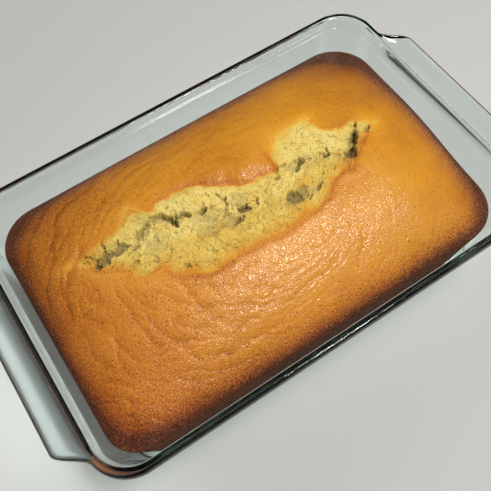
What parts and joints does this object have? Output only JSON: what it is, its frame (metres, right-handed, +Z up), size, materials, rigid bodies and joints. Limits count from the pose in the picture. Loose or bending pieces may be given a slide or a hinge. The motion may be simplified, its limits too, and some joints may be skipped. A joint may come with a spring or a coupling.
{
  "type": "banana bread in a glass loaf dish",
  "caption": "Golden loaf-shaped banana bread with a browned, domed crust torn open along its crown, in a clear glass loaf dish with tab handles.",
  "frame": {"origin": "on the ground under the middle of the glass dish", "axes": "+X along the loaf from handle to handle, +Y across it, +Z up"},
  "size_m": [0.2526, 0.1516, 0.0805],
  "materials": {
    "baked_crust": "golden-brown baked crust, darker towards the edges, pale yellow open crumb in the tear, slightly moist",
    "clear_glass": "clear pressed glass, smooth and glossy, blue-green where it is seen edge on"
  },
  "bodies": {
    "root": {"loaf": "baked_crust", "glass_dish": "clear_glass"}
  },
  "joints": []
}
